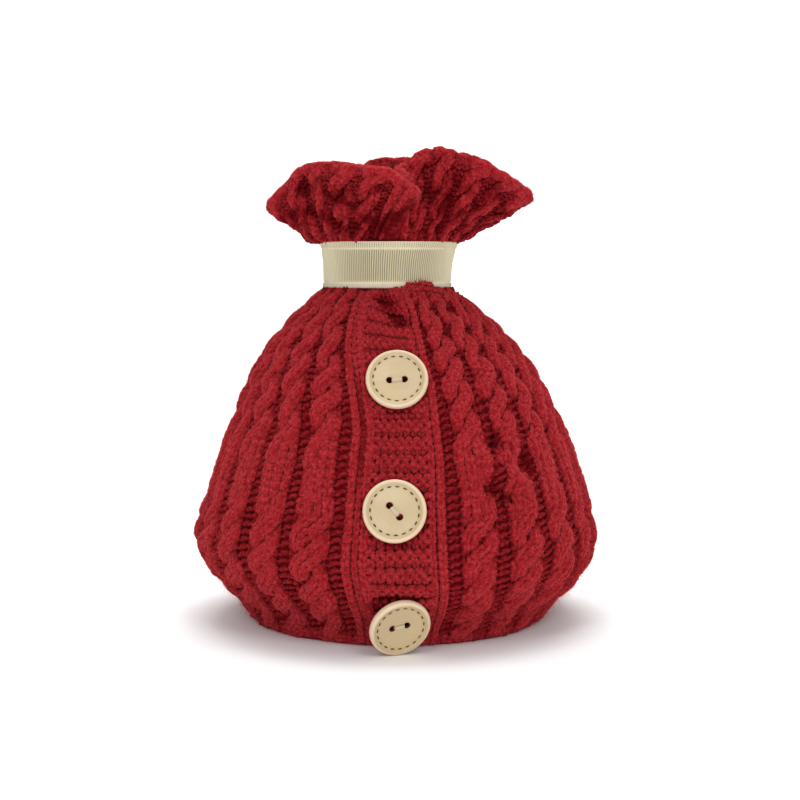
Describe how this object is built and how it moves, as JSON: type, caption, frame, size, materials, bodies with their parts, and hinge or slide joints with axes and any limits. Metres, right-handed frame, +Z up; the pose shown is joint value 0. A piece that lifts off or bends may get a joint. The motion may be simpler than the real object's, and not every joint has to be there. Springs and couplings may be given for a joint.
{
  "type": "tea cosy",
  "caption": "Cable-knit teapot cover: a belled body drawn in at the neck under an elastic band, a frill above it, a buttoned front panel and side slots for spout and handle.",
  "frame": {"origin": "on the surface that the hem stands on, under the middle of the whole part's box", "axes": "+Z up through the neck; -Y towards the buttoned front; the spout slot at -X and the handle slot at +X"},
  "size_m": [0.1994, 0.2018, 0.2323],
  "materials": {
    "red_yarn": "soft red wool-mix yarn, brushed and slightly hairy, matt",
    "beige_elastic": "ribbed woven elastic with a plain selvage along both edges, matt",
    "pale_wood": "pale close-grained wood, satin lacquer, with a ring of short dark burnt dashes",
    "cream_thread": "cream cotton sewing thread"
  },
  "bodies": {
    "root": {"knitted_cosy": "red_yarn", "elastic_band": "beige_elastic", "button_top": "pale_wood", "button_middle": "pale_wood", "button_bottom": "pale_wood", "thread_top": "cream_thread", "thread_middle": "cream_thread", "thread_bottom": "cream_thread"}
  },
  "joints": []
}
